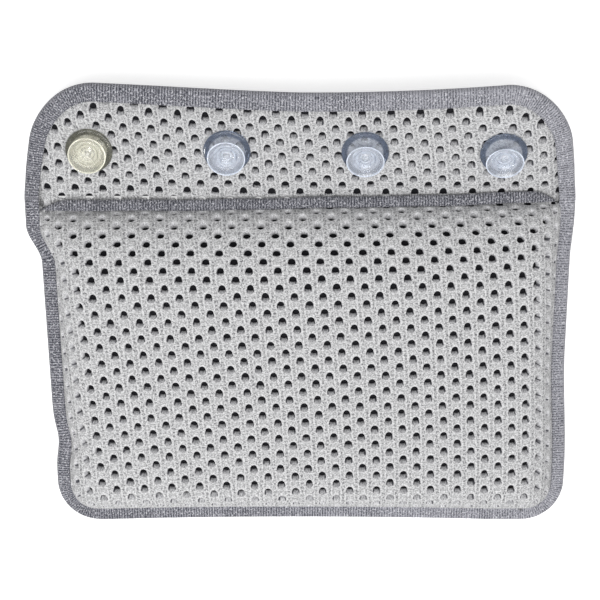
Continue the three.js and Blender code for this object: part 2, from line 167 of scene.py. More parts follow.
def pulled_inside(x, y, inset, fold_end):
    """Points beyond the cushion's outline less an inset, moved onto it"""
    y = np.minimum(y, fold_end)
    x = np.clip(x, left_side(y) + inset, right_side(y) - inset)
    for turn, middle in ((-1, left_middle), (1, right_middle)):
        past = (y < corner_y) & (turn * (x - middle) > 0)
        x, y = onto_corner(x, y, middle, corner_y, cushion_corner - inset, past)
    return x, np.maximum(y, inset - cushion_length + foot_arch(x))


def rolled(distance, run):
    return np.sqrt(1 - (1 - np.clip(distance / run, 0, 1)) ** 2)


def from_seams(x, y):
    """Distances from the seam round the outline and from the one at the fold"""
    return inset_from_edge(x, y) - seam_inset(x, y), fold_drift(x) - y - fold_seam


def swell(x, y, depth):
    from_edge, from_fold = from_seams(x, y)
    return rolled(from_edge - depth, side_roll - depth) * rolled(from_fold - depth, fold_roll - depth)


def tub_height(x, y, depth, level):
    crown = 1 - 0.12 * (x / half_width) ** 2
    full = crown * (fold_swell + (fold_swell - foot_swell) * y / cushion_length)
    return seam_height + level + swell(x, y, depth) * (full - depth - level)


def bather_height(x, y, depth, level):
    flat = seam_height - level
    return np.maximum(depth, flat - swell(x, y, depth) * (flat - depth + 0.5))


def in_scene(name, data):
    made = bpy.data.objects.new(name, data)
    bpy.context.scene.collection.objects.link(made)
    return made


def add_mesh(name, points, faces):
    """A new object of points in millimetres from the fold line, placed in the pillow's frame"""
    mesh = bpy.data.meshes.new(name)
    placed = np.asarray(points, float) / 1000 + np.array([0, fold_y, 0])
    mesh.from_pydata(placed.tolist(), [], [list(map(int, face)) for face in faces])
    mesh.polygons.foreach_set("use_smooth", [True] * len(mesh.polygons))
    return in_scene(name, mesh)


def border_of(faces):
    """Edges used by one face only, in that face's direction"""
    edges = dict.fromkeys(edge for face in faces for edge in zip(face, np.roll(face, -1)))
    return [(start, end) for start, end in edges if (end, start) not in edges]


def closed_sheet(top, bottom, faces):
    """Faces over and under a sheet, and walls round its border"""
    under = len(top)
    lower_faces = [[corner + under for corner in reversed(face)] for face in faces]
    walls = [[end, start, start + under, end + under] for start, end in border_of(faces)]
    return np.vstack([top, bottom]), [*map(list, faces), *lower_faces, *walls]


def grid(across, along):
    return np.meshgrid(across, along, indexing="ij")


def grid_faces(x, y, least_area, keep=lambda middle: True):
    """The points and square faces of a grid, less the faces that were squeezed flat or aren't kept"""
    rows = x.shape[1]
    faces = []
    for column in range(x.shape[0] - 1):
        for row in range(rows - 1):
            corner = column * rows + row
            face = [corner, corner + rows, corner + rows + 1, corner + 1]
            across = [x.flat[index] for index in face]
            along = [y.flat[index] for index in face]
            area = sum(across[k - 1] * along[k] - across[k] * along[k - 1] for k in range(4)) / 2
            if area > least_area and keep((sum(across) / 4, sum(along) / 4)):
                faces.append(face)
    used = sorted({index for face in faces for index in face})
    order = {index: place for place, index in enumerate(used)}
    return x.ravel()[used], y.ravel()[used], [[order[index] for index in face] for face in faces]


grid_x = np.arange(-half_width - 3, half_width + 7, bag_grid)
grid_x, grid_y = grid(grid_x, np.arange(-cushion_length - 2, 4, bag_grid))
bag_x, bag_y = pulled_inside(grid_x, grid_y, edge_inset, fold_drift(grid_x) - 9)
bag_x, bag_y, bag_faces = grid_faces(bag_x, bag_y, 2)
upper = tub_height(bag_x, bag_y, spacer_thickness, bag_level) - bag_clearance
lower = bather_height(bag_x, bag_y, spacer_thickness, bag_level) + bag_clearance
bag_sides = [np.column_stack([bag_x, bag_y, height]) for height in (upper, lower)]
bag = add_mesh("bag_of_filling_cloth", *closed_sheet(*bag_sides, bag_faces))


def filled_with_fibre(piece):
    """Blows the bag up from inside as cloth, with its sewn edge held, and keeps the result in its mesh"""
    held = piece.vertex_groups.new(name="sewn edge")
    pinned = np.tile(np.minimum(*from_seams(bag_x, bag_y)) < 3, 2)
    held.add([int(index) for index in np.nonzero(pinned)[0]], 1, "REPLACE")
    cloth = piece.modifiers.new("filling", "CLOTH")
    settings = cloth.settings
    settings.vertex_group_mass = held.name
    settings.use_pressure = True
    settings.uniform_pressure_force = filling_pressure
    settings.effector_weights.gravity = 0
    settings.quality = 6
    settings.tension_stiffness = 12
    settings.compression_stiffness = 8
    settings.bending_stiffness = 0.4
    cloth.point_cache.frame_start = 1
    cloth.point_cache.frame_end = cloth_steps
    for step in range(1, cloth_steps + 1):
        bpy.context.scene.frame_set(step)
    evaluated = piece.evaluated_get(bpy.context.evaluated_depsgraph_get())
    before = np.array([vertex.co for vertex in piece.data.vertices])
    moved = np.array([vertex.co for vertex in evaluated.data.vertices]) - before
    piece.modifiers.remove(cloth)
    bpy.context.scene.frame_set(1)
    far = np.maximum(np.linalg.norm(moved, axis=1, keepdims=True) * 1000 / most_swelling, 1)
    moved = moved / far
    for vertex, shift in zip(piece.data.vertices, moved):
        vertex.co += Vector(shift)


def height_of(piece, x, y, upward):
    """Height at which vertical lines meet the mesh, from above or from below, in millimetres"""
    tree = BVHTree.FromObject(piece, bpy.context.evaluated_depsgraph_get())
    way = Vector((0, 0, -upward))
    heights = np.full(x.shape, np.nan)
    for index in np.ndindex(x.shape):
        start = Vector((x[index] / 1000, y[index] / 1000 + fold_y, 0.2 * upward))
        hit = tree.ray_cast(start, way)[0]
        if hit is not None:
            heights[index] = hit.z * 1000
    return heights


swelling_x = np.arange(map_from_x, half_width + 7, map_step)
swelling_x, swelling_y = grid(swelling_x, np.arange(map_from_y, 12, map_step))
swellings = {side: np.zeros(swelling_x.shape) for side in (1, -1)}
flat_heights = {side: height_of(bag, swelling_x, swelling_y, side) for side in (1, -1)}
filled_with_fibre(bag)
bpy.context.view_layer.update()
for side in (1, -1):
    gained = height_of(bag, swelling_x, swelling_y, side) - flat_heights[side]
    gained = np.clip(np.nan_to_num(gained), -most_swelling, most_swelling)
    gained *= smooth((inset_from_edge(swelling_x, swelling_y) - side_seam) / 22)
    gained *= smooth((fold_drift(swelling_x) - swelling_y - fold_seam) / 22)
    for _ in range(2):
        padded = np.pad(gained, 1, mode="edge")
        columns, rows = gained.shape
        gained = sum(padded[a : a + columns, b : b + rows] for a in range(3) for b in range(3)) / 9
    swellings[side] = gained


def swelling(x, y, side):
    """What the filling adds to the cushion's height at any place, between the places where it was measured"""
    column = np.clip((x - map_from_x) / map_step, 0, swelling_x.shape[0] - 1.001)
    row = np.clip((y - map_from_y) / map_step, 0, swelling_x.shape[1] - 1.001)
    a, b = column.astype(int), row.astype(int)
    p, q = column - a, row - b
    measured = swellings[side]
    left = measured[a, b] * (1 - q) + measured[a, b + 1] * q
    right = measured[a + 1, b] * (1 - q) + measured[a + 1, b + 1] * q
    return left * (1 - p) + right * p


def node_material(name, **values):
    """A material with a plain Principled shader, its own values set straight on the shader"""
    made = bpy.data.materials.new(name)
    made.use_nodes = True
    shader = made.node_tree.nodes["Principled BSDF"]
    for socket, value in values.items():
        shader.inputs[socket.replace("_", " ")].default_value = value
    return made, made.node_tree, shader


def connect(value, socket):
    """Feeds a socket with another one or sets it to a plain value"""
    if isinstance(value, bpy.types.NodeSocket):
        socket.id_data.links.new(value, socket)
    else:
        socket.default_value = value


def new_node(tree, kind, group=None, **values):
    """A shader node with its inputs set or fed; one of the kind Group holds a node group"""
    made = tree.nodes.new("ShaderNode" + kind)
    if group is not None:
        made.node_tree = group
    for socket, value in values.items():
        connect(value, made.inputs[socket])
    return made


def add_relief(shader, height, strength, distance):
    """Raises a material's surface a little by a height"""
    bump = new_node(shader.id_data, "Bump", Strength=strength, Distance=distance, Height=height)
    connect(bump.outputs["Normal"], shader.inputs["Normal"])


dark_cloth, tree, shader = node_material("dark cloth", Roughness=0.95, Specular_IOR_Level=0.2)
place = new_node(tree, "TexCoord").outputs["Object"]
weave = new_node(tree, "TexWave", Vector=place, Scale=900, Distortion=1.5).outputs["Fac"]
shades = new_node(tree, "ValToRGB", Fac=weave)
shades.color_ramp.elements[0].color = (0.007, 0.007, 0.009, 1)
shades.color_ramp.elements[1].color = (0.022, 0.022, 0.026, 1)
connect(shades.outputs["Color"], shader.inputs["Base Color"])
add_relief(shader, weave, 0.3, 0.0003)

bag.data.materials.append(dark_cloth)
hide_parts("bag_of_filling")
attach(bag, "cushion")


# Tub side cover: knitted spacer mesh with columns of holes knitted right through it, each column half a pitch
# off the next. It is draped over the filling and pressed flat where the tape binds it.

column_spacing = 8.9
half_row = 5.242
hole_sides = 18
hole_width = 4.7
hole_height = 5.7
# From a hole's rim down its wall: width and height as shares of the hole's own, and depth in the cloth
hole_rings = [
    (1.2, 1.14, 0), (1.06, 1.04, 0.02), (1, 1, 0.09), (0.98, 0.91, 0.4), (0.96, 0.78, 0.75), (0.95, 0.64, 1),
]
seed_of_cushion = 4
eye_y = 184
eye_z = 890


def off_middle(y, z, slope):
    """Seen from above the flap, a hole's dark bottom seems to lie this far up the cloth from its middle"""
    lean = np.clip(np.arctan2(eye_y - y, eye_z - z) + slope, -0.6, 0.6)
    shift = spacer_thickness * np.tan(lean)
    lowest = np.maximum(-hole_height / 2, shift - 1.9)
    highest = np.minimum(hole_height / 2, shift + 1.9)
    return (lowest + highest) / 2 + 0.2


def counted_lattice(i, j):
    """Where the dark bottom of the hole in column i and half row j shows, on cloth cut a little askew"""
    x = -0.68 + column_spacing * i - 0.448 * j + 0.0024 * i * j - 0.0041 * i**2 - 0.0018 * j**2
    x = x + 0.00023 * i**3 + 0.00009 * i**2 * j - 0.0001 * i * j**2 + 0.00017 * j**3
    y = -86.5 + half_row * j + 0.1125 * i - 0.0042 * i * j - 0.0026 * i**2 + 0.0025 * j**2
    y = y + 0.00018 * i**3 + 0.00044 * i**2 * j - 0.00004 * i * j**2 + 0.00028 * j**3
    return x, y


def edge_of_roll(run, height):
    """Plan distance from a seam against length of cloth from it, where the cover rolls up from the seam"""
    turn = np.linspace(0, math.pi / 2, 300)
    plan = run * (1 - np.cos(turn))
    rise = height * np.sin(turn)
    cloth = running_sum(np.hypot(np.diff(plan), np.diff(rise)))
    before, after = -90, 500
    plan = np.concatenate([[before], plan, [run + after]])
    return plan, np.concatenate([[before], cloth, [cloth[-1] + after]]), cloth[-1] - run


# For each side: how its cover rises from the seam at the sides and the foot, and at the fold
rolls = {
    1: (edge_of_roll(side_roll, 20.5), edge_of_roll(fold_roll, 28)),
    -1: (edge_of_roll(side_roll, 14.2), edge_of_roll(fold_roll, 14.2)),
}


def plan_from(distance, roll):
    plan, cloth, spare = roll
    return np.interp(distance + spare, cloth, plan)


def draped_in_plan(cloth_x, cloth_y, side):
    """Plan of the places of the cloth: it covers less of the plan where the cover rolls down to its seams"""
    at_side, at_fold = rolls[side]
    fold_line = fold_drift(cloth_x) - fold_seam
    foot_line = foot_seam - cushion_length
    y_from_fold = fold_line - plan_from(fold_line - cloth_y, at_fold)
    y_from_foot = foot_line + plan_from(cloth_y - foot_line, at_side)
    y = np.where(cloth_y > -cushion_length / 2, y_from_fold, y_from_foot)
    left_line = left_side(y) + side_seam
    right_line = right_side(y) - side_seam
    x_from_left = left_line + plan_from(cloth_x - left_line, at_side)
    x_from_right = right_line - plan_from(right_line - cloth_x, at_side)
    return np.where(cloth_x < 0, x_from_left, x_from_right), y


def cover_face(cloth_x, cloth_y, side):
    """Outer face of a cover: the tub side's ends under the band, the bather side's at the fold line"""
    x, y = draped_in_plan(cloth_x, cloth_y, side)
    under_band = band_lower_edge(x) + band_width * band_share(x) - 1.2
    x, y = pulled_inside(x, y, edge_inset, under_band if side > 0 else -0.1)
    face = tub_height if side > 0 else bather_height
    z = face(x, y, 0, seam_reach)
    z = z + swelling(x, y, side) * (1 if side > 0 else smooth(z / 4))
    return np.stack([x, y, z], axis=-1)


def cover_place(cloth_x, cloth_y, depth, side):
    """A place in the cover's thickness: depth is 0 on its outer face and 1 on its inner one"""
    step = 0.6
    on_face = cover_face(cloth_x, cloth_y, side)
    along_x = cover_face(cloth_x + step, cloth_y, side) - cover_face(cloth_x - step, cloth_y, side)
    along_y = cover_face(cloth_x, cloth_y + step, side) - cover_face(cloth_x, cloth_y - step, side)
    outward = side * np.cross(along_x, along_y)
    size = np.linalg.norm(outward, axis=-1, keepdims=True)
    outward = np.where(size > 1e-6, outward / np.maximum(size, 1e-6), [0, 0, side])
    x, y = on_face[..., 0], on_face[..., 1]
    from_seam = np.minimum(*from_seams(x, y))
    thickness = pressed_thickness + (spacer_thickness - pressed_thickness) * smooth(from_seam / 5 + 0.1)
    return on_face - outward * (depth * thickness)[..., None]


def cushion_lattice(i, j):
    """Where the middles of the holes lie along the cloth"""
    x, y = counted_lattice(i, j)
    plan, cloth, spare = rolls[1][1]
    last = fold_drift(x) - fold_seam - np.interp(4, plan, cloth) + spare
    measured_y = np.minimum(y, last)
    rise = cover_face(x, measured_y + 2, 1) - cover_face(x, measured_y - 2, 1)
    middle = cover_face(x, measured_y, 1)
    slope = np.arctan2(rise[..., 2], np.maximum(rise[..., 1], 0.5))
    return x, y - off_middle(middle[..., 1], middle[..., 2], slope)


def hole_shape(turn):
    """The rim of a knitted hole: an arch above, straight sides and a blunt point below"""
    below = np.maximum(-np.sin(turn), 0)
    return np.cos(turn) * (1 + 0.55 * below * abs(np.cos(turn)) ** 1.5), np.sin(turn)


def store(piece, name, values):
    """Three numbers for each point of a mesh, for its material to read"""
    made = piece.data.attributes.new(name, "FLOAT_VECTOR", "POINT")
    made.data.foreach_set("vector", np.asarray(values, np.float32).ravel())


def perforated_cloth(name, sites, lattice, place, seed, stretched=()):
    """Cloth of six-sided cells, each with a hole through it: a face, a rounded rim, a wall and a back face.
    A stretched site has a stem through its hole, which is as wide as the stem's seat and in the middle."""
    corners = [(6, 0), (3, 3), (-3, 3), (-6, 0), (-3, -3), (3, -3)]
    per_side = hole_sides // 6
    rim = []
    for (a, b), (c, d) in zip(corners, corners[1:] + corners[:1]):
        for part in range(per_side):
            share = part / per_side
            rim.append((round(a + (c - a) * share), round(b + (d - b) * share)))
    rim = np.array(rim)
    sites = np.array(sites)
    chance = np.random.default_rng(seed)
    keys = (sites[:, None, :] * [9, 3] + rim[None]).reshape(-1, 2)
    shared, shared_index = np.unique(keys, axis=0, return_inverse=True)
    shared_index = shared_index.reshape(len(sites), hole_sides)
    lattice_rows = [shared / [9, 3], shared / [9, 3]]
    edge_x, edge_y = lattice(shared[:, 0] / 9, shared[:, 1] / 3)
    on_face = np.zeros(len(shared))
    points = [place(edge_x, edge_y, on_face), place(edge_x, edge_y, on_face + 1)]
    depths = [on_face, on_face]
    middle_x, middle_y = lattice(sites[:, 0].astype(float), sites[:, 1].astype(float))
    middle_x = middle_x + chance.normal(0, 0.12, len(sites))
    middle_y = middle_y + chance.normal(0, 0.12, len(sites))
    width = hole_width / 2 * (1 + chance.normal(0, 0.03, len(sites)))
    height = hole_height / 2 * (1 + chance.normal(0, 0.03, len(sites)))
    for index, (i, j) in enumerate(sites):
        if (i, j) in stretched:
            middle_x[index], middle_y[index] = lattice(float(i), float(j))
            width[index] = height[index] = seat_of_stem / 2
    turn = 2 * math.pi * np.arange(hole_sides) / hole_sides
    if lattice(1.0, 0.0)[0] < lattice(0.0, 0.0)[0]:
        width = -width
    across_shape, along_shape = hole_shape(turn)
    ring_index = []
    total = 2 * len(shared)
    for wider, longer, depth in hole_rings:
        x = middle_x[:, None] + width[:, None] * wider * across_shape
        y = middle_y[:, None] + height[:, None] * longer * along_shape
        depth_of_points = np.full(x.size, depth)
        points.append(place(x.ravel(), y.ravel(), depth_of_points))
        depths.append(depth_of_points)
        across = across_shape * (abs(width)[:, None] * wider / column_spacing)
        along = along_shape * (height[:, None] * longer / half_row)
        across, along = sites[:, :1] + across, sites[:, 1:] + along
        lattice_rows.append(np.column_stack([across.ravel(), along.ravel()]))
        ring_index.append(total + np.arange(x.size).reshape(len(sites), hole_sides))
        total += x.size
    layers = [shared_index, *ring_index, shared_index + len(shared)]
    faces = []
    for outer, inner in zip(layers, layers[1:]):
        outer_next = np.roll(outer, -1, axis=1)
        inner_next = np.roll(inner, -1, axis=1)
        faces.append(np.stack([outer, outer_next, inner_next, inner], axis=-1).reshape(-1, 4))
    border = border_of(shared_index.tolist())
    faces.append(np.array([[end, start, start + len(shared), end + len(shared)] for start, end in border]))
    faces = np.vstack(faces)
    piece = add_mesh(name, np.vstack(points), faces)
    store(piece, "loops", np.column_stack([np.vstack(lattice_rows), np.concatenate(depths)]))
    return piece


def sites_between(columns, half_rows):
    """Hole columns and half rows: a hole in every other half row of a column"""
    rows = range(-half_rows, half_rows)
    return [(i, j) for i in range(-columns, columns) for j in rows if (i + j) % 2 == 0]


def cover_sites(lattice, side):
    """The sites whose cells reach inside the edge of a cover"""
    sites = []
    for site in sites_between(25, 33):
        x, y = draped_in_plan(*map(np.array, lattice(*map(float, site))), side)
        if inset_from_edge(x, y) > -3 and fold_drift(x) - y > 0:
            sites.append(site)
    return sites


tub_cover = perforated_cloth(
    "tub_side_cover_cloth",
    cover_sites(cushion_lattice, 1),
    cushion_lattice,
    lambda x, y, depth: cover_place(x, y, depth, 1),
    seed_of_cushion,
)


def group_with(name, inputs, outputs):
    """An empty node group, what it is given and what it puts out"""
    group = bpy.data.node_groups.new(name, "ShaderNodeTree")
    for way, sockets in (("INPUT", inputs), ("OUTPUT", outputs)):
        for socket, kind, *value in sockets:
            made = group.interface.new_socket(name=socket, in_out=way, socket_type="NodeSocket" + kind)
            if value:
                made.default_value = value[0]
    given = group.nodes.new("NodeGroupInput").outputs
    return group, given, group.nodes.new("NodeGroupOutput").inputs


def math_node(operation, *values):
    """A Math node fed by sockets or plain numbers"""
    tree = next(value.id_data for value in values if isinstance(value, bpy.types.NodeSocket))
    made = new_node(tree, "Math")
    made.operation = operation
    for socket, value in zip(made.inputs, values):
        connect(value, socket)
    return made.outputs[0]


plus = partial(math_node, "ADD")
minus = partial(math_node, "SUBTRACT")
times = partial(math_node, "MULTIPLY")
larger = partial(math_node, "MAXIMUM")


def smooth_range(value, low, high, to_low=0.0, to_high=1.0):
    made = new_node(value.id_data, "MapRange")
    made.interpolation_type = "SMOOTHSTEP"
    for socket, number in zip(made.inputs, (value, low, high, to_low, to_high)):
        connect(number, socket)
    return made.outputs["Result"]


def mixed_colour(factor, first, second):
    made = new_node(factor.id_data, "Mix")
    made.data_type = "RGBA"
    for socket, value in ((0, factor), (6, first), (7, second)):
        connect(value, made.inputs[socket])
    return made.outputs[2]


def flat_noise(vector, scale, detail, roughness=0.5):
    tree = vector.id_data
    made = new_node(tree, "TexNoise", Vector=vector, Scale=scale, Detail=detail, Roughness=roughness)
    made.noise_dimensions = "2D"
    return made


def split(value, kind="XYZ"):
    """The three parts of a vector or a colour"""
    made = new_node(value.id_data, "Separate" + kind)
    connect(value, made.inputs[0])
    return made.outputs


def scaled(vector, amounts):
    made = new_node(vector.id_data, "VectorMath")
    made.operation = "MULTIPLY"
    connect(vector, made.inputs[0])
    connect(amounts, made.inputs[1])
    return made.outputs[0]


def stored(tree, name):
    """What was stored at each point of the mesh"""
    made = new_node(tree, "Attribute")
    made.attribute_name = name
    return made.outputs["Vector"]


def spot(*extents):
    """One at the middle of an oval and nothing beyond it, from distances to its middle and its widths"""
    reach = 0
    for distance, width in extents:
        share = math_node("DIVIDE", distance, width)
        reach = plus(times(share, share), reach)
    return smooth_range(reach, 0.15, 1.3, 1.0, 0.0)


# The knit. Each hole has a cell of its own, one column wide and two half rows long, with a zigzag chain of
# pinholes down both its sides, fainter pinholes above the hole, and bright loops of yarn round them.
knitted_loops, given, put_out = group_with(
    "knitted loops",
    [("Loops", "Vector")],
    [("Pinholes", "Float"), ("Yarn", "Float"), ("Corners", "Float")],
)
along_column, along_row, _ = split(given["Loops"])
uneven = split(flat_noise(given["Loops"], 2.6, 1).outputs["Color"], "Color")
column_place = plus(along_column, times(minus(uneven["Red"], 0.5), 0.22))
row_place = plus(along_row, times(minus(uneven["Green"], 0.5), 0.5))
column = math_node("ROUND", column_place)
across_cell = minus(column_place, column)
from_middle = math_node("ABSOLUTE", across_cell)
along_cell = math_node("WRAP", minus(row_place, column), -1.0, 1.0)
from_side = minus(0.5, from_middle)
zigzag = times(math_node("PINGPONG", plus(row_place, 0.07), 0.5), 0.2)
chain_row = math_node("WRAP", minus(row_place, 0.07), -0.25, 0.25)
chain = spot((minus(from_side, zigzag), 0.05), (chain_row, 0.11))
beside_middle = minus(from_middle, 0.26)
above_hole = spot((beside_middle, 0.05), (minus(math_node("ABSOLUTE", along_cell), 0.93), 0.14))
ticks = spot((beside_middle, 0.045), (minus(along_cell, 0.68), 0.11))
connect(larger(chain, times(larger(above_hole, ticks), 0.6)), put_out["Pinholes"])
yarn = flat_noise(given["Loops"], 7, 4, 0.85)
wales = spot((minus(from_side, 0.17), 0.09))
halo = spot((across_cell, 0.42), (minus(along_cell, 0.1), 0.85))
connect(plus(yarn.outputs["Fac"], larger(times(wales, 0.05), times(halo, 0.07))), put_out["Yarn"])
connect(spot((minus(from_middle, 0.24), 0.07), (plus(along_cell, 0.28), 0.17)), put_out["Corners"])

air_mesh, tree, shader = node_material("air mesh", Roughness=0.9, Specular_IOR_Level=0.25)
loops = stored(tree, "loops")
knit = new_node(tree, "Group", knitted_loops, Loops=loops).outputs
face = smooth_range(knit["Yarn"], 0.38, 0.66)
cloth_colour = mixed_colour(face, (0.27, 0.27, 0.275, 1), (0.75, 0.75, 0.757, 1))
cloth_colour = mixed_colour(times(knit["Pinholes"], 0.7), cloth_colour, (0.09, 0.09, 0.1, 1))
# In the walls of the holes the yarns run down through the cloth. The walls are painted with a glow in their
# own colour, standing in for the daylight that comes in between the yarns, and the painted glow fades deeper
# down.
depth = split(loops)["Z"]
in_wall = smooth_range(depth, 0.06, 0.16)
wall_fibres = new_node(tree, "TexNoise", Vector=scaled(loops, (1, 1, 0.12)), Scale=16, Detail=3)
fibres = smooth_range(wall_fibres.outputs["Fac"], 0.3, 0.7)
wall_colour = mixed_colour(fibres, (0.24, 0.24, 0.25, 1), (0.62, 0.62, 0.63, 1))
wall_colour = mixed_colour(knit["Corners"], wall_colour, (0.08, 0.08, 0.09, 1))
connect(mixed_colour(in_wall, cloth_colour, wall_colour), shader.inputs["Base Color"])
# Painted glow of the hole walls: brightest near the rim, fading towards the back face
painted_wall_glow = times(in_wall, smooth_range(depth, 0.1, 1.1, 0.45, 0.16))
connect(mixed_colour(painted_wall_glow, (0, 0, 0, 1), wall_colour), shader.inputs["Emission Color"])
shader.inputs["Emission Strength"].default_value = 1.0
add_relief(shader, minus(knit["Yarn"], knit["Pinholes"]), 0.6, 0.0004)

tub_cover.data.materials.append(air_mesh)
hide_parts("tub_side_cover")
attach(tub_cover, "cushion")


# Bather side cover: the same spacer mesh on the side that the head rests on. It hangs shallower than the tub
# side and lies flat on whatever the pillow rests on.


def bather_lattice(i, j):
    """Hole places on the bather side, whose columns run the other way when seen from above"""
    return -column_spacing * i - 0.2 * j, 5.3 * j - 108 - 0.05 * i


bather_cover = perforated_cloth(
    "bather_side_cover_cloth",
    cover_sites(bather_lattice, -1),
    bather_lattice,
    lambda x, y, depth: cover_place(x, y, depth, -1),
    seed_of_cushion + 1,
)
bather_cover.data.materials.append(air_mesh)
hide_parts("bather_side_cover")
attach(bather_cover, "cushion")


# Flap: a second panel of the same mesh, which carries the cups. It bends up from the fold, runs straight
# where the cups clamp it and levels off above. Each stem stretches its hole and draws in the mesh round it.

flap_length = 78
flap_corner = 38
flap_sag = 5.5
flap_slope = math.radians(21)
flap_twist = 0.35 / half_width
flap_back = seam_height - seam_reach
cup_up_flap = 35
cup_across = [-130.65, -45.15, 40.35, 125.85]
seat_of_stem = 6.8
washer_radius = 14.7
draw_run = 16
flap_tape = 11
flap_step = 0.25
up_flap = np.arange(0, 100, flap_step)
straight_from = cup_up_flap - washer_radius
straight_to = cup_up_flap + washer_radius


def slope_of_flap(v):
    bent = smooth((v - straight_from + 18) / 18)
    return flap_slope * (bent - 0.6 * smooth((v - straight_to) / 28))


step_slopes = slope_of_flap(up_flap[:-1] + flap_step / 2)
flap_y = running_sum(np.cos(step_slopes) * flap_step)
flap_z = running_sum(np.sin(step_slopes) * flap_step)


def unit(vectors):
    return vectors / np.linalg.norm(vectors, axis=-1, keepdims=True)


def flap_frame(u, v):
    """Place, direction across and outward direction of the back of the flap's mesh"""
    profile_y = np.where(v < 0, v, np.interp(v, up_flap, flap_y))
    profile_z = np.interp(v, up_flap, flap_z)
    slope = slope_of_flap(v)
    rise = 1 + flap_twist * u
    origin = np.stack([u, profile_y, flap_back + profile_z * rise], axis=-1)
    across = unit(np.stack([np.ones_like(u), 0 * u, profile_z * flap_twist], axis=-1))
    up_cloth = unit(np.stack([0 * u, np.cos(slope), np.sin(slope) * rise], axis=-1))
    return origin, across, unit(np.cross(across, up_cloth))


def on_flap(u, v, w):
    u, v, w = np.broadcast_arrays(*(np.asarray(value, float) for value in (u, v, w)))
    origin, _, outward = flap_frame(u, v)
    return origin + outward * w[..., None]


def flap_top(u):
    across = u / (half_width - flap_corner)
    return flap_length - flap_sag * np.maximum(0, 1 - across**2) * (1 + 0.55 * np.minimum(across, 0))


def draw_in(v):
    """The flap's sides draw in towards its top"""
    return 9.5 * smooth(v / 72)


def drawn_in(u, v):
    return u - draw_in(v) * np.clip(u / (half_width - flap_corner), -1, 1)


def straightened(u, v):
    return u + draw_in(v) * np.clip(u / (half_width - flap_corner - draw_in(v)), -1, 1)


def flap_inset(u, v):
    u = straightened(u, v)
    return corner_inset(half_width - abs(u), flap_top(u) - v, flap_corner)


def inside_flap(u, v, inset, fold_end):
    """Points beyond the flap's outline less an inset, moved onto it"""
    u = straightened(u, v)
    v = np.minimum(v, flap_top(u) - inset)
    u = np.clip(u, inset - half_width, half_width - inset)
    middle_u = np.sign(u) * (half_width - flap_corner)
    middle_v = flap_length - flap_corner
    past = (abs(u) > abs(middle_u)) & (v > middle_v)
    u, v = onto_corner(u, v, middle_u, middle_v, flap_corner - inset, past)
    return drawn_in(u, v), np.maximum(v, fold_end)


def plain_flap_lattice(i, j):
    u = -2.73 + 8.853 * i - 0.56 * j - 0.0219 * i * j + 0.0065 * i**2 - 0.0151 * j**2
    v = 38.27 - 0.144 * i + 5.09 * j - 0.0107 * i * j + 0.0178 * i**2 + 0.0017 * i**2 * j - 0.06 * j**2
    middle = flap_frame(u, np.maximum(v, 0))[0]
    return u, v - off_middle(middle[..., 1], middle[..., 2], slope_of_flap(np.maximum(v, 0)))


flap_sites = sites_between(21, 12)
stem_sites = []
for across in cup_across:
    distances = [math.dist(plain_flap_lattice(*site), (across, cup_up_flap)) for site in flap_sites]
    stem_sites.append(flap_sites[int(np.argmin(distances))])


def flap_lattice(i, j):
    """Hole places on the flap, drawn in round the stems of the cups"""
    u, v = plain_flap_lattice(i, j)
    drawn_u, drawn_v = u, v
    for across, site in zip(cup_across, stem_sites):
        from_u, from_v = plain_flap_lattice(*site)
        pull = hump(np.hypot(u - from_u, v - from_v), draw_run)
        drawn_u = drawn_u + (across - from_u) * pull
        drawn_v = drawn_v + (cup_up_flap - from_v) * pull
    return drawn_u, drawn_v


def flap_place(u, v, depth):
    u, v = inside_flap(u, v, edge_inset, -5.5)
    from_tape = flap_inset(u, v) - tape_width(u, v)
    full = smooth(from_tape / 6) * smooth(v / 12)
    thickness = pressed_thickness + (spacer_thickness - pressed_thickness) * full
    return on_flap(u, v, thickness * (1 - depth))


def tape_width(s, t):
    """Width of the tape that shows: widest along the flap's top, narrowest on the cushion's sides"""
    at_fold = 9.6 + 1.2 * smooth(s / 60)
    on_cushion = 10.2 - 1.2 * smooth((t + cushion_length) / 30) + (at_fold - 9) * smooth((t + 110) / 90)
    return np.where(t < 0, on_cushion, at_fold + (flap_tape - at_fold) * smooth((t - 10) / 50))


def on_flap_mesh(site):
    u, v = flap_lattice(*map(float, site))
    return flap_inset(u, v) > -3 and v > -10


flap_mesh = perforated_cloth(
    "flap_mesh_cloth",
    [site for site in flap_sites if on_flap_mesh(site)],
    flap_lattice,
    flap_place,
    seed_of_cushion + 2,
    stem_sites,
)
flap_mesh.data.materials.append(air_mesh)
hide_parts("flap_mesh")
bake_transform(flap_mesh)


# Lining: thin dark cloth laid behind the flap's mesh and caught under the tape round it. The cups' stems go
# through it.

lining_grid = 2.5
grid_u = np.arange(-half_width - 1, half_width + 2, lining_grid)
grid_u, grid_v = grid(grid_u, np.arange(0, flap_length + 5, lining_grid))
lining_u, lining_v = inside_flap(grid_u, grid_v, edge_inset, 1.0)
for across in cup_across:
    reach = np.hypot(lining_u - across, lining_v - cup_up_flap)
    near = (reach < 4.6) & (reach > 1e-6)
    share = np.where(near, seat_of_stem / 2 / np.maximum(reach, 1e-6), 1)
    lining_u = across + (lining_u - across) * share
    lining_v = cup_up_flap + (lining_v - cup_up_flap) * share


def clear_of_stems(middle):
    return min(math.dist(middle, (cup, cup_up_flap)) for cup in cup_across) > seat_of_stem / 2 - 0.5


lining_u, lining_v, lining_faces = grid_faces(lining_u, lining_v, 0.4, clear_of_stems)
lining = add_mesh(
    "flap_lining_cloth",
    *closed_sheet(on_flap(lining_u, lining_v, -0.3), on_flap(lining_u, lining_v, -1.3), lining_faces),
)
lining.data.materials.append(dark_cloth)
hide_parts("flap_lining")
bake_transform(lining)


# Edge tape: one long strip of melange grey ribbed knit, folded over the raw edges all the way round and sewn
# through. The raw edges are thicker on the cushion, where two covers and the bag meet, than on the flap.

station_step = 2
tape_thickness = 1
back_of_tape = 12
raw_edge = 3.1


